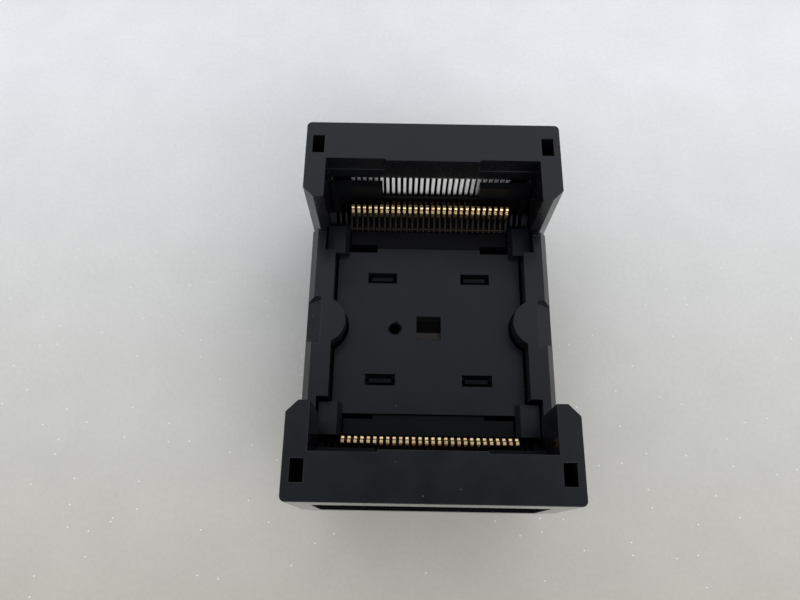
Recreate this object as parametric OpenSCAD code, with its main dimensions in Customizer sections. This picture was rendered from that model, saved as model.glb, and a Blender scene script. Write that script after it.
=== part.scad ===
// Open-top test socket for a thin small-outline package with leads on its two short ends.
// A frame-shaped cover is pressed down against two springs. Its wedge ribs push the upright
// levers of the contacts outwards, the noses lift off the leads, and the package drops in.
// X runs along the contact rows, Y across them, Z up; z = 0 is at the tips of the terminals.

/* [Contacts] */
// Distance between neighbouring contacts
pitch = 0.5; // [0.5:0.05:0.65]
// Contacts in each row, in four groups
row_count = 28; // [24:4:32]
// Thickness of the stamped contact strip
strip_t = 0.25; // [0.2:0.01:0.3]
// Gap on each side of a strip in its slot
slot_gap = 0.03; // [0.02:0.005:0.04]
// Slots without a contact at each end of a row
spare_slots = 3; // [0:1:3]
// Distance of the nose's front face from the middle of the socket
nose_y = 9.70; // [8:0.05:12]
// Depth of the contact head
head_d = 0.75; // [0.6:0.05:0.75]
// Height of the contact head's top above the nest floor
head_h = 2.83; // [2.4:0.05:2.9]
// Width of the upright lever
lever_t = 0.45; // [0.35:0.05:0.5]
// Height of the lever's tip above the contact head
lever_over = 1.62; // [1.5:0.02:1.7]
// Gap between the guide's wall and the levers, into which the wedge rib comes
wedge_room = 0.50; // [0.45:0.05:0.6]
// Distance of the pivot behind the nose
pivot_in = 1.5; // [1.45:0.05:1.55]
// Height of the pivot above the flange
pivot_h = 1.4; // [1.2:0.1:1.5]
// Radius of the rolled knuckle at the pivot
knuckle_r = 0.30; // [0.25:0.01:0.32]
// Gap between the knuckle and its seat
knuckle_gap = 0.03; // [0.02:0.01:0.05]
// Terminal length below the seating face
pin_len = 3.0; // [2.6:0.1:3.4]
// Width of a terminal across the row
pin_w = 0.30; // [0.25:0.01:0.36]
// Distance of the innermost terminal in front of the nose
pin_in = 0.35; // [0.2:0.05:0.4]
// Distance between the four staggered terminal rows
pin_step_y = 1.0; // [0.8:0.05:1.0]

/* [Nest plate] */
// Thickness of the nest plate
nest_t = 1.27; // [1.2:0.01:1.4]
// Room between the end contacts of a row and the package guides
guide_room = 0.35; // [0.3:0.05:0.5]
// Width of an ear
ear_w = 1.90; // [1.8:0.05:2.2]
// Length of an ear
ear_len = 2.65; // [2.2:0.05:2.8]
// Gap between an ear and the noses
ear_gap = 0.40; // [0.35:0.05:0.5]
// How far the plate's side stands back from the ears
nest_in = 1.0; // [0.9:0.05:1.1]
// Depth of the cross-bar between the plate's end and the ears' end
crossbar_d = 1.85; // [1.7:0.05:2.0]
// Height of the package guides above the floor
guide_h = 0.7; // [0.4:0.1:0.8]
// Side of the square hole in the middle
square_w = 2.1; // [1.6:0.1:2.4]
// Distance of the round hole from the middle
round_x = 2.9; // [2.6:0.1:3.4]
// Radius of the round hole
round_r = 0.45; // [0.3:0.05:0.6]
// Width of the round hole's countersink
sink_w = 0.2; // [0.1:0.05:0.3]
// Length of a latch window
window_l = 2.53; // [2.3:0.01:2.8]
// Width of a latch window
window_w = 0.97; // [0.9:0.01:1.1]
// Distance of a latch window from the package guide
window_side = 1.77; // [1.6:0.01:2.0]
// Distance of a latch window from the plate's end
window_end = 2.38; // [2.2:0.01:2.6]
// Length of a corner slot
corner_slot_l = 2.5; // [2.2:0.1:2.8]
// Depth of a corner slot in the base, beyond the plate's end
corner_slot_d = 0.45; // [0.3:0.01:0.7]
// Depth of the notches in the plate's rear corners
corner_notch_d = 0.38; // [0.2:0.02:0.5]
// How far the loose plate lies to the front
nest_shift = 0.06; // [0:0.01:0.07]

/* [Base] */
// Thickness of the base flange
flange_t = 1.2; // [1.0:0.1:1.3]
// Corner radius of the base flange
flange_r = 0.5; // [0.3:0.1:0.8]
// How far the flange stands back from the cover's sides
flange_in = 0.12; // [0.05:0.01:0.3]
// Height of the block, on which the nest plate lies, above the flange
block_h = 2.4; // [2.2:0.1:2.6]
// Height of the ribs between the contacts above the nest floor
rib_h = 0.73; // [0.7:0.01:0.8]
// Height of the wall behind the levers above the ribs
back_wall_h = 1.9; // [1.5:0.1:1.9]
// Radius of a locating post
post_r = 0.75; // [0.5:0.05:0.9]
// Length of a locating post below the seating face
post_len = 2.2; // [1.6:0.1:2.5]
// Distance of a post's axis inside the ears' sides
post_side = 0.5; // [0.4:0.1:0.8]
// Distance of a post's axis from the flange's end
post_end = 1.93; // [1.6:0.01:2.0]

/* [Cover] */
// Height of the cover's top above the levers' tips
top_over = 3.68; // [3.4:0.02:4.2]
// Travel of the cover
travel = 2.0; // [1.6:0.1:2.0]
// Radius of the cover's outer corners
cover_r = 0.4; // [0.2:0.1:0.6]
// Thickness of the top of the end bars
top_t = 1.7; // [1.4:0.1:1.7]
// Depth of the tab in the middle of a bar
tab_d = 0.16; // [0.1:0.02:0.2]
// Gap between the tab's ends and the guide's notch
tab_gap = 0.31; // [0.2:0.01:0.4]
// Thickness of the arms
arm_w = 1.70; // [1.6:0.05:1.8]
// Thickness of the arms' lower part, beside the ears
low_arm_w = 1.27; // [1.2:0.01:1.5]
// Length of the arms along Y
arm_len = 6.93; // [6.6:0.01:7.2]
// Chamfer at the arms' outer corners, seen from above
arm_c = 0.85; // [0.5:0.05:1.1]
// Thickness of the outer wall of the end bars
wall_t = 1.3; // [1.1:0.05:1.5]
// Room behind the levers, in which they swing
swing_room = 1.25; // [1.25:0.05:1.4]
// Height left above the window in the outer wall
end_window_drop = 3.0; // [2.6:0.1:3.4]
// Gap between the nest plate and the side rails
rail_gap = 0.15; // [0.1:0.01:0.2]
// Height of the side rails
rail_h = 3.35; // [3.1:0.05:3.6]
// Width of the chamfer along a rail
rail_cw = 0.6; // [0.3:0.05:0.8]
// Height of the chamfer along a rail
rail_ch = 0.95; // [0.5:0.05:1.2]
// Radius of a round boss
boss_r = 2.07; // [1.95:0.01:2.12]
// Depth of a finger scoop at the cover's side
scoop_d = 1.0; // [0.8:0.1:1.1]
// Wall between a hook hole and the cover's side
hook_wall = 0.56; // [0.5:0.01:0.62]
// Width of a hook hole
hook_hole_w = 0.94; // [0.9:0.01:1.0]
// Length of a hook hole
hook_hole_l = 1.58; // [1.5:0.01:1.7]

/* [Contact guide] */
// Thickness of the guide's wall
comb_t = 0.25; // [0.2:0.01:0.27]
// Distance of the guide's wall behind the nose
comb_in = 1.60; // [1.6:0.01:1.65]
// How far the wall's thick upper part stands forward
comb_head_d = 0.35; // [0.2:0.05:0.4]
// Height of the wall above the levers' tips
comb_over = 0.38; // [0.3:0.02:0.42]
// Gap between the guide's ends and the cover's arms
comb_gap = 0.12; // [0.1:0.01:0.3]
// Levers that show in the notch in the middle of the wall
notch_levers = 17; // [13:2:19]
// Depth of the notch's floor below the contact heads
notch_drop = 0.5; // [0.3:0.1:0.6]
// Height of the slots through which the contact arms pass
comb_slot_h = 1.0; // [0.9:0.05:1.1]

/* [Springs] */
// Wire diameter
wire_d = 0.28; // [0.2:0.02:0.32]
// Outer diameter of a spring
spring_od = 2.3; // [2.0:0.05:2.36]
// Free turns
spring_turns = 5; // [4:0.5:5.5]
// Distance of the spring's axis inside the boss's centre
spring_in = 0.35; // [0.3:0.05:0.4]
// Radial room round a spring in its pocket
pocket_gap = 0.15; // [0.08:0.01:0.2]
// Floor left under a spring pocket
pocket_floor = 0.6; // [0.4:0.1:0.8]
// Thickness of the boss above a spring
boss_roof = 0.75; // [0.6:0.05:0.9]

/* [Clearances] */
// Gap beside sliding faces
slide_gap = 0.10; // [0.06:0.01:0.12]
// Gap between fixed pieces that lie side by side
seam = 0.08; // [0.04:0.01:0.1]
// Gap between a wedge rib and the levers, along Y
wedge_gap = 0.12; // [0.08:0.01:0.16]

/* [Hidden] */
$fn = 48;

plastic = [0.12, 0.125, 0.14];
dark_plastic = [0.09, 0.09, 0.10];
gold = [0.83, 0.66, 0.32];
steel = [0.72, 0.73, 0.75];

// Overlap of joined shapes, and how far a cutter stands out of what it cuts
eps = 0.01;
clear = 1.0;

// Heights, from the terminals up
seat_z = pin_len;
flange_z = seat_z + flange_t;
pivot_z = flange_z + pivot_h;
block_z = flange_z + block_h;
floor_z = block_z + nest_t;
crossbar_z = floor_z - 0.27;
rib_top_z = floor_z + rib_h;
back_wall_z = rib_top_z + back_wall_h;
head_top_z = floor_z + head_h;
notch_z = head_top_z - notch_drop;
lever_top_z = head_top_z + lever_over;
comb_top_z = lever_top_z + comb_over;
comb_head_z = head_top_z + 0.25;
cover_top_z = lever_top_z + top_over;
skirt_z = flange_z + travel + slide_gap;
cover_h = cover_top_z - skirt_z;
rail_top_z = skirt_z + rail_h;
scoop_z = rail_top_z - scoop_d;
plate_z = cover_top_z - top_t;
end_window_z = cover_top_z - end_window_drop;
step_z = floor_z + guide_h + travel + slide_gap;
apex_z = lever_top_z + 0.18;
pocket_z = seat_z + pocket_floor;
spring_roof_z = scoop_z - boss_roof;

// Distances from the middle along X, from the rows outwards
group_size = row_count/4;
slot_w = strip_t + 2*slot_gap;
row_hx = pitch*(row_count - 1)/2;
guide_x = row_hx + guide_room;
ear_x = guide_x + ear_w;
low_arm_x = ear_x + slide_gap;
cover_hx = low_arm_x + low_arm_w;
arm_x = cover_hx - arm_w;
base_hx = cover_hx - flange_in;
housing_hx = ear_x - 0.05;
nest_hx = ear_x - nest_in;
block_hx = nest_hx - seam;
rail_x = nest_hx + rail_gap;
boss_x = low_arm_x;
spring_x = boss_x - spring_in;
pocket_r = spring_od/2 + pocket_gap;
hook_x2 = cover_hx - hook_wall;
hook_x1 = hook_x2 - hook_hole_w;
comb_hx = arm_x - comb_gap;
end_window_hx = arm_x - slide_gap;
notch_hx = pitch*(notch_levers - 1)/2 + slot_w/2;
tab_hx = notch_hx - tab_gap;
post_x = ear_x - post_side;
window_x2 = guide_x - window_side;
window_x1 = window_x2 - window_l;
corner_slot_x = guide_x - corner_slot_l;

// Distances from the middle along Y, from the noses inwards and outwards
ear_y2 = nose_y - ear_gap;
ear_y1 = ear_y2 - ear_len;
nest_hy = ear_y2 - crossbar_d;
crossbar_y = nest_hy + seam;
corner_slot_y = nest_hy + corner_slot_d;
window_y2 = nest_hy - window_end;
window_y1 = window_y2 - window_w;
pin_first_y = nose_y - pin_in;
slot_y1 = nose_y - 0.5;
back_y = nose_y + head_d;
pivot_y = nose_y + pivot_in;
comb_y1 = nose_y + comb_in;
comb_y2 = comb_y1 + comb_t;
comb_head_y = comb_y1 - comb_head_d;
bar_y = comb_y2 + slide_gap;
lever_y = comb_y2 + wedge_room;
lever_y2 = lever_y + lever_t;
slot_y2 = lever_y2 + 0.25;
wall_y = lever_y2 + swing_room;
housing_end_y = wall_y - slide_gap - 0.05;
cover_hy = wall_y + wall_t;
base_hy = cover_hy - flange_in;
arm_y = cover_hy - arm_len;
post_y = base_hy - post_end;
hook_y2 = wall_y;
hook_y1 = hook_y2 - hook_hole_l;

// The levers' angle at full travel: the cover's wedge follows the same line.
lever_angle = 8.94;
tip_dy = lever_y - pivot_y;
tip_dz = lever_top_z - pivot_z;
tip_out_y = pivot_y + tip_dy*cos(lever_angle) + tip_dz*sin(lever_angle);
tip_out_z = pivot_z + tip_dz*cos(lever_angle) - tip_dy*sin(lever_angle) + travel;
wedge_slope = (tip_out_y - lever_y)/(tip_out_z - lever_top_z);

// Parts of a contact's outline, as steps in Y and Z
stem_w = 0.4;
beam_z1 = rib_top_z - 0.6;
beam_z2 = rib_top_z + 0.3;
toe_steps = [[0.45, 0.11], [0.4, 0.01], [0.1, 0.01], [0.08, 0.36], [0.2, 1.2]];
head_steps = [[0.02, -1.2], [0, -1.0], [0, -0.5], [0.05, -0.36], [0.24, -0.3], [0.28, -0.1], [0.4, 0]];
head_back_steps = [[-0.13, 0], [0, -0.15]];
heel_steps = [[0, 0], [-0.3, -0.3]];

// Parts of the moulded hooks and latches
hook_post_t = 0.55;
hook_bite = 0.6;
hook_head_h = 1.1;
catch_h = 0.8;
catch_bite = 0.61;
tongue_side = 0.3;
tongue_t = 0.35;
tongue_back = 0.33;
latch_bite = 0.2;
ledge_z = floor_z - 0.87;
latch_head_h = 0.37;

// Y of the wedge's outer face at a height in the cover
function wedge_y(z) = lever_y + wedge_slope*(z - lever_top_z) - wedge_gap;
// X of contact i of a row
function contact_x(i) = (i - (row_count - 1)/2)*pitch;
// Y of the terminal of contact i
function pin_y(i) = pin_first_y + pin_step_y*(i % 4);
// The steps of an outline, counted from a place
function placed(y, z, steps) = [for (s = steps) [y + s[0], z + s[1]]];

// A profile drawn in the YZ plane, as thick as w and centred on x
module plate_yz(x, w) {
    translate([x - w/2, 0, 0])
        rotate([90, 0, 90])
            linear_extrude(height = w)
                children();
}

module block(x1, x2, y1, y2, z1, z2) {
    translate([x1, y1, z1])
        cube([x2 - x1, y2 - y1, z2 - z1]);
}

module both_ends() {
    children();
    mirror([0, 1, 0])
        children();
}

module both_sides() {
    children();
    mirror([1, 0, 0])
        children();
}

module four_corners() {
    both_sides()
        both_ends()
            children();
}

// Rectangle with round corners, drawn from its half sizes
module round_rect(hx, hy, r) {
    union() {
        square([2*hx, 2*(hy - r)], center = true);
        square([2*(hx - r), 2*hy], center = true);
        for (sx = [-1, 1], sy = [-1, 1])
            translate([sx*(hx - r), sy*(hy - r)])
                circle(r = r);
    }
}

// Base

// Profile of the contact housing: cross-bar, rising ribs, and the foot of the back wall
module housing_profile() {
    polygon([
        [crossbar_y, flange_z - eps],
        [crossbar_y, crossbar_z],
        [slot_y1 + 0.1, crossbar_z],
        [back_y + 0.15, rib_top_z],
        [lever_y + 0.1, rib_top_z],
        [slot_y2, beam_z1 - 0.6],
        [housing_end_y, beam_z1 - 0.6],
        [housing_end_y, flange_z - eps]
    ]);
}

// Wall behind the levers, which leaves them room to swing
module back_wall_profile() {
    wall_in_y = housing_end_y - 0.22;
    polygon([
        [slot_y2, beam_z1 - 0.6 - eps],
        [slot_y2, beam_z1 - 0.6],
        [wall_in_y - 0.26, beam_z1],
        [wall_in_y, back_wall_z],
        [housing_end_y, back_wall_z],
        [housing_end_y, beam_z1 - 0.6 - eps]
    ]);
}

// The slot of one contact, with the hole for its terminal
module contact_slot(y_start, y_pin) {
    translate([y_start, flange_z])
        square([slot_y2 - y_start, rib_top_z]);
    translate([y_pin - (pin_w + seam)/2, seat_z - clear])
        square([pin_w + seam, flange_t + 2*clear]);
}

module empty_slot() {
    translate([nose_y, pivot_z])
        square([slot_y2 - nose_y, rib_top_z]);
}

// Hook that stands in a corner of the cover and holds it down
module base_hook() {
    hook_w = hook_x2 - slide_gap - hook_x1;
    post_y2 = hook_y2 - slide_gap;
    post_y1 = post_y2 - hook_post_t;
    catch_z = skirt_z + catch_h + seam/2;
    plate_yz(hook_x1 + hook_w/2, hook_w)
        polygon([
            [post_y2, flange_z - eps],
            [post_y2, catch_z + hook_head_h],
            [post_y1, catch_z + hook_head_h],
            [post_y1 - hook_bite, catch_z + hook_head_h/2],
            [post_y1 - hook_bite, catch_z],
            [post_y1, catch_z],
            [post_y1, flange_z - eps]
        ]);
}

// Tongue that holds the nest plate at one of its windows
module nest_latch() {
    tongue_y = window_y1 + tongue_back;
    catch_z = ledge_z + seam/2;
    plate_yz((window_x1 + window_x2)/2, window_l - 2*tongue_side)
        polygon([
            [tongue_y, block_z - eps],
            [tongue_y, catch_z],
            [tongue_y - latch_bite, catch_z],
            [tongue_y - latch_bite, catch_z + latch_head_h/2],
            [tongue_y, catch_z + latch_head_h],
            [tongue_y + tongue_t, catch_z + latch_head_h],
            [tongue_y + tongue_t, block_z - eps]
        ]);
}

module base_solid() {
    translate([0, 0, seat_z])
        linear_extrude(height = flange_t)
            round_rect(base_hx, base_hy, flange_r);
    block(-block_hx, block_hx, -crossbar_y - eps, crossbar_y + eps, flange_z - eps, block_z);
    both_ends() {
        block(-housing_hx, housing_hx, ear_y1 + seam, ear_y2 + seam + eps, flange_z - eps, block_z);
        plate_yz(0, 2*(guide_x - seam))
            housing_profile();
        plate_yz(0, 2*housing_hx)
            intersection() {
                housing_profile();
                translate([ear_y2 + seam, 0])
                    square([housing_end_y - ear_y2, rib_top_z]);
            }
        plate_yz(0, 2*comb_hx)
            back_wall_profile();
    }
    four_corners() {
        base_hook();
        nest_latch();
    }
    for (s = [-1, 1])
        translate([s*post_x, s*post_y, seat_z - post_len])
            cylinder(r = post_r, h = post_len + eps);
}

module base() {
    color(plastic)
        difference() {
            base_solid();
            both_ends() {
                for (i = [0:row_count - 1])
                    plate_yz(contact_x(i), slot_w)
                        contact_slot(slot_y1, pin_y(i));
                for (k = [1:spare_slots])
                    both_sides()
                        plate_yz(row_hx + pitch*k, slot_w)
                            empty_slot();
            }
            four_corners()
                block(corner_slot_x, guide_x, nest_hy - clear/2, corner_slot_y, block_z - clear, floor_z);
            both_sides() {
                translate([boss_x, 0, flange_z])
                    cylinder(r = boss_r + slide_gap, h = cover_h);
                translate([spring_x, 0, pocket_z])
                    cylinder(r = pocket_r, h = cover_h);
            }
            block(-square_w/2, square_w/2, -square_w/2, square_w/2, seat_z - clear, floor_z);
            translate([-round_x, 0, flange_z + clear])
                cylinder(r = round_r, h = cover_h);
        }
}

// Nest plate

module nest_outline() {
    difference() {
        union() {
            square([2*nest_hx, 2*nest_hy], center = true);
            for (sx = [-1, 1], sy = [-1, 1])
                translate([sx*(guide_x + ear_x)/2, sy*(ear_y1 + ear_y2)/2])
                    square([ear_x - guide_x, ear_y2 - ear_y1], center = true);
        }
        for (s = [-1, 1])
            translate([s*boss_x, 0])
                circle(r = boss_r + slide_gap + nest_shift);
    }
}

// Guide at a corner of the package, on an ear, with a sloped lead-in
module package_guide() {
    rotate([90, 0, 0])
        translate([0, 0, -ear_y2])
            linear_extrude(height = ear_len)
                polygon([
                    [guide_x, floor_z - eps],
                    [guide_x, floor_z + guide_h/3],
                    [guide_x + guide_h/2, floor_z + guide_h],
                    [ear_x, floor_z + guide_h],
                    [ear_x, floor_z - eps]
                ]);
}

module nest_plate() {
    color(plastic)
        translate([0, -nest_shift, 0])
            difference() {
                union() {
                    translate([0, 0, block_z])
                        linear_extrude(height = nest_t)
                            nest_outline();
                    four_corners()
                        package_guide();
                }
                four_corners() {
                    block(window_x1, window_x2, window_y1 + latch_bite, window_y2, block_z - clear, floor_z);
                    block(window_x1, window_x2, window_y1, window_y2, ledge_z, floor_z + clear);
                }
                both_sides()
                    block(corner_slot_x, guide_x, nest_hy - corner_notch_d, nest_hy + eps,
                        block_z - clear, floor_z + clear);
                block(-square_w/2, square_w/2, -square_w/2, square_w/2, block_z - clear, floor_z + clear);
                translate([-round_x, 0, block_z - clear])
                    cylinder(r = round_r, h = nest_t + 2*clear);
                translate([-round_x, 0, floor_z - sink_w])
                    cylinder(r1 = round_r, r2 = round_r + sink_w + eps, h = sink_w + eps);
            }
}

// Contact guide: a wall with a slot for each contact arm, and a notch for the cover's tab

module contact_guide() {
    foot_w = 0.6;
    foot_d = 0.3;
    difference() {
        union() {
            block(-comb_hx, comb_hx, comb_y1, comb_y2, rib_top_z, comb_top_z);
            block(-comb_hx, comb_hx, comb_head_y, comb_y1 + eps, comb_head_z, comb_top_z);
            both_sides()
                block(comb_hx - foot_w, comb_hx, comb_head_y - foot_d, comb_y2, rib_top_z, comb_head_z);
        }
        for (i = [0:row_count - 1])
            plate_yz(contact_x(i), slot_w)
                translate([comb_head_y, rib_top_z - clear])
                    square([comb_head_d + 2*comb_t, comb_slot_h + clear]);
        block(-notch_hx, notch_hx, comb_head_y - clear, comb_y2 + clear, notch_z, comb_top_z + clear);
    }
}

module rear_contact_guide() {
    color(dark_plastic)
        contact_guide();
}

module front_contact_guide() {
    color(dark_plastic)
        mirror([0, 1, 0])
            contact_guide();
}

// Cover

// Outline of one end of the cover from above: bar, tab, and two arms with chamfered corners
module end_outline(arm_inner, bar_inner, tab) {
    difference() {
        intersection() {
            round_rect(cover_hx, cover_hy, cover_r);
            translate([-cover_hx, arm_y])
                square([2*cover_hx, arm_len]);
        }
        translate([-arm_inner, 0])
            square([2*arm_inner, bar_inner - tab]);
        if (tab > 0)
            for (s = [-1, 1])
                translate([s*(tab_hx + arm_inner)/2, bar_inner - tab/2])
                    square([arm_inner - tab_hx, tab + eps], center = true);
        for (s = [-1, 1])
            translate([s*cover_hx, arm_y])
                rotate(45)
                    square(arm_c*sqrt(2), center = true);
    }
}

// Rib under the bar: upright inner face, bevelled apex, and the face that drives the levers
module wedge_profile() {
    polygon([
        [bar_y, plate_z + eps],
        [bar_y, lever_top_z + 1.0],
        [lever_y - wedge_gap, apex_z],
        [wedge_y(apex_z), apex_z],
        [wedge_y(plate_z), plate_z],
        [wedge_y(plate_z), plate_z + eps]
    ]);
}

module side_rail() {
    rail_block_y = ear_y1 - seam - nest_shift;
    rail_end_y = arm_y + arm_c/2;
    rotate([90, 0, 0])
        translate([0, 0, -rail_end_y])
            linear_extrude(height = 2*rail_end_y)
                polygon([
                    [low_arm_x, skirt_z],
                    [cover_hx, skirt_z],
                    [cover_hx, rail_top_z - rail_ch],
                    [cover_hx - rail_cw, rail_top_z],
                    [low_arm_x, rail_top_z]
                ]);
    block(rail_x, low_arm_x + eps, -rail_block_y, rail_block_y, skirt_z, rail_top_z);
}

// Finger scoop: it slopes from the boss's centre down to the cover's side
module scoop() {
    intersection() {
        translate([boss_x, 0, skirt_z])
            cylinder(r = boss_r, h = cover_h);
        rotate([90, 0, 0])
            linear_extrude(height = 2*boss_r, center = true)
                polygon([
                    [boss_x, rail_top_z],
                    [cover_hx, scoop_z],
                    [cover_hx + boss_r, scoop_z],
                    [cover_hx + boss_r, rail_top_z + clear],
                    [boss_x, rail_top_z + clear]
                ]);
    }
}

// The hook catch of the cover, under a corner hole
module cover_catch() {
    plate_yz((low_arm_x + hook_x2)/2, hook_x2 - low_arm_x)
        polygon([
            [hook_y1 - eps, skirt_z],
            [hook_y1 + catch_bite/2, skirt_z],
            [hook_y1 + catch_bite, skirt_z + catch_h/2],
            [hook_y1 + catch_bite, skirt_z + catch_h],
            [hook_y1 - eps, skirt_z + catch_h]
        ]);
}

module cover_end() {
    translate([0, 0, plate_z])
        linear_extrude(height = top_t)
            end_outline(arm_x, bar_y, tab_d);
    translate([0, 0, step_z])
        linear_extrude(height = plate_z - step_z + eps)
            end_outline(arm_x, wall_y, 0);
    translate([0, 0, skirt_z])
        linear_extrude(height = step_z - skirt_z + eps)
            end_outline(low_arm_x, wall_y, 0);
    plate_yz(0, 2*(arm_x + eps))
        wedge_profile();
    block(-tab_hx, tab_hx, bar_y - tab_d, bar_y + eps, lever_top_z + 1.1, plate_z + eps);
}

module cover() {
    color(dark_plastic)
        difference() {
            union() {
                both_ends()
                    cover_end();
                both_sides() {
                    side_rail();
                    intersection() {
                        translate([boss_x, 0, skirt_z])
                            cylinder(r = boss_r, h = rail_h);
                        block(0, cover_hx, -boss_r, boss_r, skirt_z, rail_top_z);
                    }
                }
            }
            both_ends()
                block(-end_window_hx, end_window_hx, wall_y - eps, cover_hy + clear,
                    skirt_z - clear, end_window_z);
            four_corners()
                difference() {
                    block(hook_x1, hook_x2, hook_y1, hook_y2, skirt_z - clear, cover_top_z + clear);
                    cover_catch();
                }
            both_sides() {
                scoop();
                translate([spring_x, 0, skirt_z - clear])
                    cylinder(r = pocket_r, h = spring_roof_z - skirt_z + clear);
            }
        }
}

// Springs

// Point at angle a on the wire's section, at step k of the coil
function coil_point(k, a, steps, rise, wire_r, mean_r) =
    let (
        turn = 360*spring_turns*k/steps,
        r = mean_r + wire_r*cos(a),
        z = wire_r + rise*k/steps + wire_r*sin(a)
    )
    [r*cos(turn), r*sin(turn), z];

module spring() {
    wire_r = wire_d/2;
    mean_r = spring_od/2 - wire_r;
    sides = 8;
    steps = ceil(spring_turns*16);
    length = spring_roof_z - pocket_z - 2*eps;
    rise = length - wire_d;
    points = [for (k = [0:steps], j = [0:sides - 1])
        coil_point(k, 360*j/sides, steps, rise, wire_r, mean_r)];
    walls = [for (k = [0:steps - 1], j = [0:sides - 1])
        let (n = (j + 1) % sides)
        [k*sides + j, (k + 1)*sides + j, (k + 1)*sides + n, k*sides + n]];
    first = [[for (j = [0:sides - 1]) j]];
    last = [[for (j = [sides - 1:-1:0]) steps*sides + j]];
    color(steel)
        translate([spring_x, 0, pocket_z + eps])
            polyhedron(points = points, faces = concat(walls, first, last), convexity = 10);
}

module right_spring() {
    spring();
}

module left_spring() {
    mirror([1, 0, 0])
        spring();
}

// Contacts

// Moving part of a contact: knuckle, beam, head with its nose, and the upright lever
module arm_profile() {
    translate([pivot_y, pivot_z])
        circle(r = knuckle_r, $fn = 32);
    polygon(concat(
        [[pivot_y - stem_w/2, pivot_z],
        [pivot_y - stem_w/2, beam_z1],
        [back_y - 0.12, beam_z1]],
        placed(nose_y, floor_z, toe_steps),
        placed(nose_y, head_top_z, head_steps),
        placed(back_y, head_top_z, head_back_steps),
        [[back_y, beam_z2],
        [lever_y - 0.25, beam_z2],
        [lever_y, beam_z2 + 0.3],
        [lever_y, lever_top_z - 0.1],
        [lever_y + 0.1, lever_top_z],
        [lever_y2 - 0.15, lever_top_z],
        [lever_y2, lever_top_z - 0.3]],
        placed(lever_y2, rib_top_z - 0.1, heel_steps),
        [[pivot_y + stem_w, beam_z1],
        [pivot_y + stem_w/2, beam_z1 - 0.4],
        [pivot_y + stem_w/2, pivot_z]]
    ));
}

// Fixed part of a contact: terminal, root bar, lead seat, and the seat of the knuckle
module terminal_profile(y_pin) {
    root_t = 0.65;
    root_z1 = flange_z + 0.05;
    root_z2 = root_z1 + root_t;
    root_y1 = slot_y1 + 0.1;
    root_y2 = slot_y2 - 0.1;
    lead_seat_z = floor_z - 0.12;
    lead_seat_y = nose_y + 0.42;
    seat_r = knuckle_r + knuckle_gap;
    seat_y = 2*knuckle_r;
    difference() {
        union() {
            translate([y_pin - pin_w/2, 0])
                square([pin_w, root_z2]);
            translate([root_y1, root_z1])
                square([root_y2 - root_y1, root_t]);
            polygon([
                [root_y1, root_z1],
                [root_y1 + 0.5, root_z1],
                [root_y1 + 0.45, lead_seat_z - 0.6],
                [lead_seat_y, lead_seat_z - 0.3],
                [lead_seat_y, lead_seat_z],
                [root_y1 + 0.15, lead_seat_z],
                [root_y1, lead_seat_z - 0.25]
            ]);
            polygon([
                [pivot_y - seat_y, root_z1],
                [pivot_y + seat_y, root_z1],
                [pivot_y + seat_y - 0.1, pivot_z + 0.1],
                [pivot_y - seat_y + 0.1, pivot_z + 0.1]
            ]);
        }
        translate([pivot_y, pivot_z])
            circle(r = seat_r, $fn = 32);
        translate([pivot_y - seat_r, pivot_z])
            square([2*seat_r, clear]);
    }
}

// One group of contacts of the rear row, counted from the left
module arm_group(g) {
    color(gold)
        for (i = [group_size*g:group_size*(g + 1) - 1])
            plate_yz(contact_x(i), strip_t)
                arm_profile();
}

module terminal_group(g) {
    color(gold)
        for (i = [group_size*g:group_size*(g + 1) - 1])
            plate_yz(contact_x(i), strip_t)
                terminal_profile(pin_y(i));
}

module front_arm_group(g) {
    mirror([0, 1, 0])
        arm_group(g);
}

module front_terminal_group(g) {
    mirror([0, 1, 0])
        terminal_group(g);
}

base();
cover();
nest_plate();
front_contact_guide();
rear_contact_guide();
left_spring();
right_spring();
front_arm_group(0);  // front_arms_1
front_arm_group(1);  // front_arms_2
front_arm_group(2);  // front_arms_3
front_arm_group(3);  // front_arms_4
arm_group(0);  // rear_arms_1
arm_group(1);  // rear_arms_2
arm_group(2);  // rear_arms_3
arm_group(3);  // rear_arms_4
front_terminal_group(0);  // front_terminals_1
front_terminal_group(1);  // front_terminals_2
front_terminal_group(2);  // front_terminals_3
front_terminal_group(3);  // front_terminals_4
terminal_group(0);  // rear_terminals_1
terminal_group(1);  // rear_terminals_2
terminal_group(2);  // rear_terminals_3
terminal_group(3);  // rear_terminals_4
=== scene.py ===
"""Dresses the open-top test socket: moulded black plastic, gold-plated contacts, wire springs."""

import math

import bpy
import bmesh
import numpy as np
from bpy.props import FloatProperty, FloatVectorProperty, IntProperty, PointerProperty
from mathutils import Matrix, Vector


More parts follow.
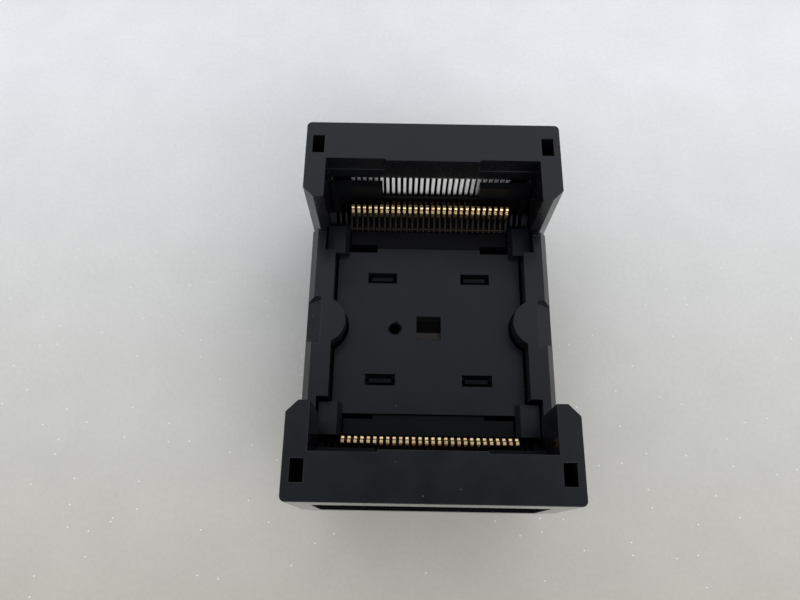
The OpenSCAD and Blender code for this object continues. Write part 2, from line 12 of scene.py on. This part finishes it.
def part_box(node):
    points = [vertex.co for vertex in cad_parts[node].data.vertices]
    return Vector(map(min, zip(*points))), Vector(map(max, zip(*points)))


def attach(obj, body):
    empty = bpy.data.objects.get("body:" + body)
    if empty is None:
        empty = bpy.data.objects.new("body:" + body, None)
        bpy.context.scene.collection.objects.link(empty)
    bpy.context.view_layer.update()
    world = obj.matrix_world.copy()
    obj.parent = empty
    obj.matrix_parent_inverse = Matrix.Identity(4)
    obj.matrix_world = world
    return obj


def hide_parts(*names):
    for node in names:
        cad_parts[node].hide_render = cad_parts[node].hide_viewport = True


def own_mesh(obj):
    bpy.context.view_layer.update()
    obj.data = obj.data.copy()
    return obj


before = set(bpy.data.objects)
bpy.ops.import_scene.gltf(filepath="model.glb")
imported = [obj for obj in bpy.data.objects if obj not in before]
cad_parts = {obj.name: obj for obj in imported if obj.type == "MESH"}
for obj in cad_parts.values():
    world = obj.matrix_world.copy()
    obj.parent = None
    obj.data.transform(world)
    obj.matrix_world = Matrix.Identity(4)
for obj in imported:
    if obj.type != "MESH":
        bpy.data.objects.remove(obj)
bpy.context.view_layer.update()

bl_info = {
    "name": "Test Socket Finish",
    "version": (1, 0, 0),
    "blender": (4, 5, 0),
    "location": "View3D > Sidebar > Test Socket",
    "description": "Finishes the mouldings, contacts and springs of an open-top test socket",
    "category": "Object",
}

MM = 0.001
SLIGHT_TURN, SHARP_TURN = math.radians(1), math.radians(25)
FACET_WIDTH = 0.5 * MM
ROWS = {"front": -1.0, "rear": 1.0}
GROUPS = range(1, 5)
GUIDES = tuple(f"{row}_contact_guide" for row in ROWS)
ARMS = {row: tuple(f"{row}_arms_{g}" for g in GROUPS) for row in ROWS}
TERMINALS = tuple(f"{row}_terminals_{g}" for row in ROWS for g in GROUPS)


class SocketSettings(bpy.types.PropertyGroup):
    """Sizes and colours that a user of the socket would change."""

    cover_colour: FloatVectorProperty(
        name="Cover colour", description="Black of the pressed cover",
        default=(0.0034, 0.0035, 0.0044), subtype="COLOR", min=0, max=1)
    base_colour: FloatVectorProperty(
        name="Base colour", description="Black of the base and the contact guides",
        default=(0.0036, 0.0038, 0.0046), subtype="COLOR", min=0, max=1)
    nest_colour: FloatVectorProperty(
        name="Nest colour", description="Black of the plate that the package lies on",
        default=(0.0046, 0.0050, 0.0066), subtype="COLOR", min=0, max=1)
    gold_colour: FloatVectorProperty(
        name="Gold colour", description="Plating of the contacts",
        default=(0.86, 0.65, 0.33), subtype="COLOR", min=0, max=1)
    lever_colour: FloatVectorProperty(
        name="Lever colour", description="Bright finish of the upright levers",
        default=(0.90, 0.88, 0.84), subtype="COLOR", min=0, max=1)
    wire_colour: FloatVectorProperty(
        name="Wire colour", description="Steel of the coil springs",
        default=(0.62, 0.62, 0.63), subtype="COLOR", min=0, max=1)
    floor_colour: FloatVectorProperty(
        name="Floor colour", description="Pale table",
        default=(0.60, 0.59, 0.57), subtype="COLOR", min=0, max=1)
    edge_round: FloatProperty(
        name="Edge rounding", description="Radius along the cover's edges",
        default=0.045 * MM, min=0, max=0.1 * MM, subtype="DISTANCE", unit="LENGTH", precision=6)
    fine_round: FloatProperty(
        name="Fine rounding", description="Radius along the edges of small ribs",
        default=0.016 * MM, min=0, max=0.04 * MM, subtype="DISTANCE", unit="LENGTH", precision=6)
    strip_round: FloatProperty(
        name="Strip rounding", description="Radius along the stamped contacts' edges",
        default=0.03 * MM, min=0, max=0.06 * MM, subtype="DISTANCE", unit="LENGTH", precision=6)
    grain: FloatProperty(
        name="Grain", description="Size of the grain in the moulded plastic",
        default=0.11 * MM, min=0.02 * MM, max=1 * MM, subtype="DISTANCE", unit="LENGTH", precision=6)
    wire_turns: FloatProperty(
        name="Spring turns", description="Turns of each coil spring", default=5.0, min=3, max=8)
    wire_steps: IntProperty(
        name="Spring steps", description="Rings of the wire in each turn", default=40, min=12, max=96)


def settings():
    return bpy.context.scene.socket_finish


# Node helpers

def add_node(tree, kind, **values):
    """A node of a kind with its inputs or settings given by name."""
    node = tree.nodes.new(kind)
    for name, value in values.items():
        if hasattr(node, name):
            setattr(node, name, value)
        else:
            node.inputs[name.replace("_", " ")].default_value = value
    return node


def fresh_material(name):
    """An empty node material, its output, its main shader and the object coordinates."""
    material = bpy.data.materials.new(name)
    material.use_nodes = True
    tree = material.node_tree
    tree.nodes.clear()
    output = tree.nodes.new("ShaderNodeOutputMaterial")
    shader = tree.nodes.new("ShaderNodeBsdfPrincipled")
    tree.links.new(shader.outputs["BSDF"], output.inputs["Surface"])
    place = tree.nodes.new("ShaderNodeTexCoord").outputs["Object"]
    return material, tree, shader, place


def noise(tree, place, size, detail=3.0, roughness=0.5):
    """Noise whose features are as wide as size, in metres."""
    node = add_node(tree, "ShaderNodeTexNoise", Scale=1.0 / size, Detail=detail, Roughness=roughness)
    tree.links.new(place, node.inputs["Vector"])
    return node.outputs["Fac"]


def spread(tree, value, low, high, start=0.35, stop=0.65):
    """Carries a noise value from its own range start to stop over to low and high."""
    node = tree.nodes.new("ShaderNodeMapRange")
    for name, number in (("From Min", start), ("From Max", stop), ("To Min", low), ("To Max", high)):
        node.inputs[name].default_value = number
    tree.links.new(value, node.inputs["Value"])
    return node.outputs["Result"]


def blend_colours(tree, factor, first, second):
    """Mixes two colours, each a tuple or a socket."""
    node = tree.nodes.new("ShaderNodeMix")
    node.data_type = "RGBA"
    tree.links.new(factor, node.inputs["Factor"])
    for socket, colour in ((node.inputs["A"], first), (node.inputs["B"], second)):
        if isinstance(colour, tuple):
            socket.default_value = (*colour, 1.0)
        else:
            tree.links.new(colour, socket)
    return node.outputs["Result"]


def scaled(colour, share):
    return tuple(min(1.0, channel * share) for channel in colour)


def bump(tree, shader, height, depth, strength=1.0):
    """Bump of a depth in metres."""
    node = add_node(tree, "ShaderNodeBump", Strength=strength, Distance=depth)
    tree.links.new(height, node.inputs["Height"])
    tree.links.new(node.outputs["Normal"], shader.inputs["Normal"])


# Materials

def dust_specks(tree, place, spacing, radius, share, cells_in="3D"):
    """One where a speck of dust lies: near the seed point of a share of the Voronoi cells."""
    cells = add_node(
        tree, "ShaderNodeTexVoronoi", voronoi_dimensions=cells_in, Scale=1.0 / spacing, Randomness=1.0)
    tree.links.new(place, cells.inputs["Vector"])
    near = add_node(tree, "ShaderNodeMath", operation="LESS_THAN")
    near.inputs[1].default_value = radius / spacing
    tree.links.new(cells.outputs["Distance"], near.inputs[0])
    chosen = add_node(tree, "ShaderNodeMath", operation="LESS_THAN")
    chosen.inputs[1].default_value = share
    parts = tree.nodes.new("ShaderNodeSeparateColor")
    tree.links.new(cells.outputs["Color"], parts.inputs["Color"])
    tree.links.new(parts.outputs["Red"], chosen.inputs[0])
    both = add_node(tree, "ShaderNodeMath", operation="MULTIPLY")
    tree.links.new(near.outputs["Value"], both.inputs[0])
    tree.links.new(chosen.outputs["Value"], both.inputs[1])
    return both.outputs["Value"]


def moulded_plastic(name, colour, gloss, dust, shine=0.5):
    """Black moulded plastic: flow-cloudy colour, satin grain, rubbed patches and a little dust.
    Seen along its surface it is smoother than seen from above, as moulded faces are."""
    material, tree, shader, place = fresh_material(name)
    grain = settings().grain
    cloud = spread(tree, noise(tree, place, 4 * MM, 4.0), 0.0, 1.0)
    body = blend_colours(tree, cloud, scaled(colour, 0.86), scaled(colour, 1.16))
    speck = dust_specks(tree, place, 0.9 * MM, 0.035 * MM, dust)
    tree.links.new(blend_colours(tree, speck, body, (0.16, 0.155, 0.145)), shader.inputs["Base Color"])
    rubbed = spread(tree, noise(tree, place, 2.6 * MM, 5.0, 0.6), gloss - 0.05, gloss + 0.06)
    slant = add_node(tree, "ShaderNodeLayerWeight", Blend=0.5)
    sleek = spread(tree, slant.outputs["Facing"], 1.0, 0.3, 0.80, 0.97)
    satin = add_node(tree, "ShaderNodeMath", operation="MULTIPLY")
    tree.links.new(rubbed, satin.inputs[0])
    tree.links.new(sleek, satin.inputs[1])
    tree.links.new(satin.outputs["Value"], shader.inputs["Roughness"])
    shader.inputs["IOR"].default_value = 1.46
    shader.inputs["Specular IOR Level"].default_value = shine
    bump(tree, shader, noise(tree, place, grain, 3.0, 0.6), 0.0035 * MM, 0.7)
    return material


def plated_strip(name):
    """Gold-plated strip: warm heads with reddish thin places, pale matt levers, and fine rolling marks, with
    painted shade: the strip between the terminals and the heads is coloured dark brown for the shade under the
    heads, and a reddish-dark band is painted across the heads for the shade of a crease. The parts are told
    apart by their distance from the middle and their height."""
    material, tree, shader, place = fresh_material(name)
    lever_start, lever_end = 11.5 * MM, 11.7 * MM
    shade_start, shade_end = 9.45 * MM, 9.75 * MM
    painted_crease_shade_y = 10.45 * MM
    split = tree.nodes.new("ShaderNodeSeparateXYZ")
    tree.links.new(place, split.inputs["Vector"])
    outwards = add_node(tree, "ShaderNodeMath", operation="ABSOLUTE")
    tree.links.new(split.outputs["Y"], outwards.inputs[0])
    # Painted shade: one above the shade line near 9.45 mm and zero below it. Below the line the strip is
    # coloured dark for the shade under the heads, and the levers are pale only above it.
    above_shade_line = spread(tree, split.outputs["Z"], 0.0, 1.0, shade_start, shade_end)
    lever = add_node(tree, "ShaderNodeMath", operation="MULTIPLY")
    tree.links.new(spread(tree, outwards.outputs["Value"], 0.0, 1.0, lever_start, lever_end), lever.inputs[0])
    tree.links.new(above_shade_line, lever.inputs[1])
    lever = lever.outputs["Value"]
    gold = tuple(settings().gold_colour)
    thin = spread(tree, noise(tree, place, 0.7 * MM, 4.0), 0.0, 1.0, 0.45, 0.7)
    plating = blend_colours(tree, thin, gold, (0.62, 0.36, 0.20))
    # Painted shade: a reddish-dark band across the heads, 10.45 mm from the middle, stands in for the shade in
    # the crease of each head.
    from_crease = add_node(tree, "ShaderNodeMath", operation="SUBTRACT")
    tree.links.new(outwards.outputs["Value"], from_crease.inputs[0])
    from_crease.inputs[1].default_value = painted_crease_shade_y
    crease = add_node(tree, "ShaderNodeMath", operation="ABSOLUTE")
    tree.links.new(from_crease.outputs["Value"], crease.inputs[0])
    clear = spread(tree, crease.outputs["Value"], 0.0, 1.0, 0.07 * MM, 0.22 * MM)
    plating = blend_colours(tree, clear, (0.16, 0.065, 0.03), plating)
    # The painted shade stops at 3.2 mm, so the terminals under the base keep their plating.
    clear_of_painted_shade = add_node(tree, "ShaderNodeMath", operation="MAXIMUM")
    tree.links.new(above_shade_line, clear_of_painted_shade.inputs[0])
    tree.links.new(spread(tree, split.outputs["Z"], 1.0, 0.0, 3.0 * MM, 3.2 * MM), clear_of_painted_shade.inputs[1])
    # Painted shade: dark brown colour on the strip below the shade line and above the terminals.
    plating = blend_colours(tree, clear_of_painted_shade.outputs["Value"], (0.045, 0.030, 0.018), plating)
    bright = tuple(settings().lever_colour)
    tree.links.new(blend_colours(tree, lever, plating, bright), shader.inputs["Base Color"])
    tree.links.new(spread(tree, lever, 1.0, 0.25, 0.0, 1.0), shader.inputs["Metallic"])
    satin = add_node(tree, "ShaderNodeMath", operation="MAXIMUM")
    tree.links.new(spread(tree, noise(tree, place, 0.25 * MM, 3.0), 0.24, 0.40), satin.inputs[0])
    tree.links.new(spread(tree, lever, 0.0, 0.6, 0.0, 1.0), satin.inputs[1])
    tree.links.new(satin.outputs["Value"], shader.inputs["Roughness"])
    stretch = tree.nodes.new("ShaderNodeMapping")
    stretch.inputs["Scale"].default_value = (1.0, 1.0, 0.08)
    tree.links.new(place, stretch.inputs["Vector"])
    bump(tree, shader, noise(tree, stretch.outputs["Vector"], 0.03 * MM, 2.0), 0.001 * MM, 0.5)
    return material


def drawn_wire(name):
    """Spring steel: grey, with drawing marks and darker patches of oil."""
    material, tree, shader, place = fresh_material(name)
    steel = tuple(settings().wire_colour)
    oil = spread(tree, noise(tree, place, 0.8 * MM, 4.0), 0.0, 1.0)
    tree.links.new(blend_colours(tree, oil, steel, scaled(steel, 0.62)), shader.inputs["Base Color"])
    shader.inputs["Metallic"].default_value = 1.0
    tree.links.new(spread(tree, noise(tree, place, 0.2 * MM, 3.0), 0.25, 0.42), shader.inputs["Roughness"])
    bump(tree, shader, noise(tree, place, 0.04 * MM, 2.0), 0.001 * MM, 0.5)
    return material


def table_top(name):
    """Pale board with a faint mottle and a fine tooth, and a painted shade that darkens and warms it towards
    the viewer.
    """
    material, tree, shader, place = fresh_material(name)
    pale = tuple(settings().floor_colour)
    mottle = spread(tree, noise(tree, place, 6 * MM, 5.0), 0.0, 1.0, 0.3, 0.7)
    split = tree.nodes.new("ShaderNodeSeparateXYZ")
    tree.links.new(place, split.inputs["Vector"])
    # Painted shade: the board's colour goes from pale at the far side to darker and warmer near the viewer,
    # for the fall of light across the table.
    depth = spread(tree, split.outputs["Y"], 0.0, 1.0, -26 * MM, 34 * MM)
    tone = blend_colours(tree, depth, (0.50, 0.462, 0.385), (0.83, 0.82, 0.79))
    tooth = spread(tree, noise(tree, place, 0.4 * MM, 3.0), 0.0, 1.0, 0.3, 0.7)
    for shade in (mottle, tooth):
        dull = add_node(tree, "ShaderNodeMix", data_type="RGBA", blend_type="MULTIPLY")
        dull.inputs["Factor"].default_value = 1.0
        tree.links.new(tone, dull.inputs["A"])
        tree.links.new(blend_colours(tree, shade, (0.95, 0.95, 0.95), (1.0, 1.0, 1.0)), dull.inputs["B"])
        tone = dull.outputs["Result"]
    speck = dust_specks(tree, place, 2.0 * MM, 0.075 * MM, 0.25, "2D")
    tree.links.new(blend_colours(tree, speck, tone, scaled(pale, 1.3)), shader.inputs["Base Color"])
    shader.inputs["Roughness"].default_value = 0.8
    bump(tree, shader, noise(tree, place, 0.5 * MM, 4.0), 0.02 * MM, 0.4)
    return material


# Meshes

def keep_as_piece(name, mesh, material, body, nodes):
    """Puts a finished mesh in the scene at the origin, on its body, in place of its CAD nodes."""
    piece = bpy.data.objects.new(name, mesh)
    bpy.context.scene.collection.objects.link(piece)
    mesh.materials.clear()
    mesh.materials.append(material)
    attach(piece, body)
    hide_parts(*nodes)
    return piece


def merged_copy(nodes, name):
    """One mesh from the CAD nodes' own surfaces, with their corners merged."""
    joined = bmesh.new()
    for node in nodes:
        joined.from_mesh(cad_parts[node].data)
    bmesh.ops.remove_doubles(joined, verts=joined.verts, dist=0.0008 * MM)
    mesh = bpy.data.meshes.new(name)
    joined.to_mesh(mesh)
    joined.free()
    stored = mesh.attributes.get("custom_normal")
    if stored:
        mesh.attributes.remove(stored)
    return mesh


def curved_faces(mesh):
    """True for each facet of a curved surface: a narrow one that turns from a neighbour by 1 to 25
    degrees. A facet's width is twice its area over its longest edge."""
    faces = bmesh.new()
    faces.from_mesh(mesh)
    curved = np.zeros(len(faces.faces), dtype=bool)
    for edge in faces.edges:
        if len(edge.link_faces) == 2 and SLIGHT_TURN < edge.calc_face_angle() < SHARP_TURN:
            for face in edge.link_faces:
                longest = max(side.calc_length() for side in face.edges)
                if 2 * face.calc_area() / longest < FACET_WIDTH:
                    curved[face.index] = True
    faces.free()
    return curved


def round_edges(piece, width, segments=2):
    """Rounds every sharp edge. Curved surfaces are shaded smooth and flats stay flat."""
    mesh = piece.data
    mesh.polygons.foreach_set("use_smooth", curved_faces(mesh))
    edge = piece.modifiers.new("edge_round", "BEVEL")
    edge.width = width
    edge.segments = segments
    edge.limit_method = "ANGLE"
    edge.angle_limit = SHARP_TURN
    edge.use_clamp_overlap = False


def coil_mesh(name, centre, radius, wire, turns, rise, steps, sides=16):
    """Wire coil. A point at angle t along the helix and a round the wire stands at
    (R + r cos a)(cos t, sin t) in plan and r + rise * s + r sin a in height, where s is the
    share of the coil; the first and last turn lie flat, so s is eased at both ends."""
    along = np.linspace(0.0, 1.0, int(turns * steps) + 1)
    dead = 0.9 / turns
    climb = np.clip((along - dead) / (1.0 - 2.0 * dead), 0.0, 1.0)
    lift = wire * (np.minimum(along / dead, 1.0) + np.minimum(np.maximum(along - 1.0 + dead, 0.0) / dead, 1.0))
    height = lift * 0.55 + climb * (rise - 1.1 * wire)
    t = 2.0 * np.pi * turns * along
    a = np.linspace(0.0, 2.0 * np.pi, sides, endpoint=False)
    reach = radius + wire / 2 * np.cos(a)[None, :]
    x = centre[0] + reach * np.cos(t)[:, None]
    y = centre[1] + reach * np.sin(t)[:, None]
    z = centre[2] + wire / 2 + height[:, None] + wire / 2 * np.sin(a)[None, :]
    points = np.stack([x, y, z], axis=-1).reshape(-1, 3)
    k, j = np.meshgrid(np.arange(len(along) - 1), np.arange(sides), indexing="ij")
    n = (j + 1) % sides
    quads = np.stack([k * sides + j, (k + 1) * sides + j, (k + 1) * sides + n, k * sides + n], axis=-1)
    faces = quads.reshape(-1, 4).tolist()
    last = (len(along) - 1) * sides
    faces += [list(range(sides)), list(range(last + sides - 1, last - 1, -1))]
    mesh = bpy.data.meshes.new(name)
    mesh.from_pydata(points.tolist(), [], faces)
    mesh.polygons.foreach_set("use_smooth", np.ones(len(mesh.polygons), dtype=bool))
    mesh.update()
    return mesh


# Operators

class SOCKET_OT_stage(bpy.types.Operator):
    """Makes the pale floor, the soft light and the camera at the photograph's view"""

    bl_idname = "socket.stage"
    bl_label = "Stage, light and camera"

    def execute(self, context):
        self.floor()
        self.light(context)
        self.camera(context)
        return {"FINISHED"}

    def floor(self):
        side = 1.5
        mesh = bpy.data.meshes.new("table")
        corners = [(-side, -side, 0), (side, -side, 0), (side, side, 0), (-side, side, 0)]
        mesh.from_pydata(corners, [], [(0, 1, 2, 3)])
        mesh.materials.append(table_top("table_top"))
        table = bpy.data.objects.new("table", mesh)
        bpy.context.scene.collection.objects.link(table)

    def light(self, context):
        """A sky that is bright low down and dark where the viewer stands, and two broad lamps.
        The brightness follows the cosine between a direction and the dark pole."""
        world = bpy.data.worlds.new("studio")
        world.use_nodes = True
        tree = world.node_tree
        tree.nodes.clear()
        output = tree.nodes.new("ShaderNodeOutputWorld")
        sky = tree.nodes.new("ShaderNodeBackground")
        tree.links.new(sky.outputs["Background"], output.inputs["Surface"])
        place = tree.nodes.new("ShaderNodeTexCoord")
        nearness = add_node(tree, "ShaderNodeVectorMath", operation="DOT_PRODUCT")
        tree.links.new(place.outputs["Generated"], nearness.inputs[0])
        nearness.inputs[1].default_value = (0.0, -0.10, 0.995)
        ramp = tree.nodes.new("ShaderNodeValToRGB")
        stops = [(0.0, 0.18), (0.25, 0.70), (0.50, 1.25), (0.80, 1.08), (0.87, 0.98), (0.92, 0.75), (0.98, 0.25), (1.0, 0.15)]
        while len(ramp.color_ramp.elements) < len(stops):
            ramp.color_ramp.elements.new(0.5)
        for element, (position, level) in zip(ramp.color_ramp.elements, stops):
            element.position = position
            element.color = (level * 0.94, level * 0.99, level * 1.08, 1)
        tree.links.new(nearness.outputs["Value"], ramp.inputs["Fac"])
        seen = tree.nodes.new("ShaderNodeLightPath").outputs["Is Camera Ray"]
        backdrop = blend_colours(tree, seen, ramp.outputs["Color"], (0.80, 0.81, 0.82))
        tree.links.new(backdrop, sky.inputs["Color"])
        context.scene.world = world
        self.lamp("window_lamp", (-1.05, 1.26, 0.90), 0.90, 0.4)
        self.lamp("front_lamp", (0.34, -0.52, 0.24), 0.60, 2.2)

    def lamp(self, name, place, size, power):
        """A square lamp that looks at the socket."""
        data = bpy.data.lights.new(name, "AREA")
        data.size = size
        data.energy = power
        lamp = bpy.data.objects.new(name, data)
        lamp.location = place
        lamp.rotation_mode = "QUATERNION"
        lamp.rotation_quaternion = (-Vector(place)).to_track_quat("-Z", "Y")
        bpy.context.scene.collection.objects.link(lamp)

    def camera(self, context):
        """The camera that was fitted to the photograph: its place, and its turn as yaw, pitch and roll."""
        place = Vector((-2.357, -17.733, 62.24)) * MM
        yaw, pitch, roll = (math.radians(v) for v in (-0.407, 69.59, 0.588))
        focal_px, frame_px, sensor_mm = 663.07, 800, 36.0
        ahead = Vector((math.sin(yaw) * math.cos(pitch), math.cos(yaw) * math.cos(pitch), -math.sin(pitch)))
        level = Vector((math.cos(yaw), -math.sin(yaw), 0))
        upright = level.cross(ahead)
        right = level * math.cos(roll) + upright * math.sin(roll)
        up = upright * math.cos(roll) - level * math.sin(roll)
        data = bpy.data.cameras.new("photo_camera")
        data.sensor_width = sensor_mm
        data.lens = focal_px / frame_px * sensor_mm
        data.clip_start = 1 * MM
        data.clip_end = 10.0
        camera = bpy.data.objects.new("photo_camera", data)
        turn = Matrix((right, up, -ahead)).transposed().to_4x4()
        camera.matrix_world = Matrix.Translation(place) @ turn
        context.scene.collection.objects.link(camera)
        context.scene.camera = camera
        context.scene.view_settings.view_transform = "Standard"


class SOCKET_OT_mouldings(bpy.types.Operator):
    """Makes the moulded pieces with rounded edges: base, nest plate, contact guides and cover"""

    bl_idname = "socket.mouldings"
    bl_label = "Mouldings"

    def execute(self, context):
        sizes = settings()
        base_black = moulded_plastic("base_black", tuple(sizes.base_colour), 0.34, 0.10, 0.11)
        nest_black = moulded_plastic("nest_black", tuple(sizes.nest_colour), 0.34, 0.30, 0.33)
        cover_black = moulded_plastic("cover_black", tuple(sizes.cover_colour), 0.27, 0.22, 0.38)
        work = [
            ("base_moulding", "base", "housing", "base_plastic", base_black, sizes.fine_round),
            ("nest_moulding", "nest_plate", "housing", "nest_plastic", nest_black, sizes.fine_round),
            ("cover_moulding", "cover", "cover", "cover_plastic", cover_black, sizes.edge_round),
        ]
        work += [(f"{node}_moulding", node, "housing", "base_plastic", base_black, sizes.fine_round)
                 for node in GUIDES]
        for name, node, body, slot, material, width in work:
            piece = keep_as_piece(name, merged_copy([node], name), material, body, [node])
            round_edges(piece, width)
        return {"FINISHED"}


class SOCKET_OT_contacts(bpy.types.Operator):
    """Makes the stamped contacts of both rows with softened edges"""

    bl_idname = "socket.contacts"
    bl_label = "Contacts"

    def execute(self, context):
        plating = plated_strip("plated_strip")
        width = settings().strip_round
        for row in ROWS:
            for node in ARMS[row]:
                name = f"{node}_strips"
                mesh = merged_copy([node], name)
                piece = keep_as_piece(name, mesh, plating, f"{row}_contacts", [node])
                round_edges(piece, width)
        for node in TERMINALS:
            name = f"{node}_strips"
            mesh = merged_copy([node], name)
            piece = keep_as_piece(name, mesh, plating, "housing", [node])
            round_edges(piece, width)
        return {"FINISHED"}


class SOCKET_OT_springs(bpy.types.Operator):
    """Makes the two coil springs, each filling the box of its CAD spring"""

    bl_idname = "socket.springs"
    bl_label = "Springs"

    def execute(self, context):
        steel = drawn_wire("drawn_wire")
        wire = 0.28 * MM
        for node in ("left_spring", "right_spring"):
            low, high = (np.array(corner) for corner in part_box(node))
            centre = (low + high) / 2
            radius = (high[0] - low[0]) / 2 - wire / 2
            rise = high[2] - low[2] - wire
            mesh = coil_mesh(
                f"{node}_wire", (centre[0], centre[1], low[2]), radius, wire,
                settings().wire_turns, rise, settings().wire_steps)
            piece = keep_as_piece(f"{node}_wire", mesh, steel, "housing", [node])
            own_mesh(piece)
        return {"FINISHED"}


class SOCKET_PT_finish(bpy.types.Panel):
    """Lists the steps that finish the socket"""

    bl_idname = "SOCKET_PT_finish"
    bl_label = "Test Socket"
    bl_space_type = "VIEW_3D"
    bl_region_type = "UI"
    bl_category = "Test Socket"

    def draw(self, context):
        for name in SocketSettings.__annotations__:
            self.layout.prop(context.scene.socket_finish, name)
        for step in STEPS:
            self.layout.operator(step.bl_idname)


STEPS = (SOCKET_OT_stage, SOCKET_OT_mouldings, SOCKET_OT_contacts, SOCKET_OT_springs)
CLASSES = (SocketSettings, *STEPS, SOCKET_PT_finish)


def register():
    for cls in CLASSES:
        bpy.utils.register_class(cls)
    bpy.types.Scene.socket_finish = PointerProperty(type=SocketSettings)


def unregister():
    del bpy.types.Scene.socket_finish
    for cls in reversed(CLASSES):
        bpy.utils.unregister_class(cls)


def main():
    """Registers the add-on and runs its steps in order."""
    register()
    bpy.ops.socket.stage()
    bpy.ops.socket.mouldings()
    bpy.ops.socket.contacts()
    bpy.ops.socket.springs()


if __name__ == "__main__":
    main()
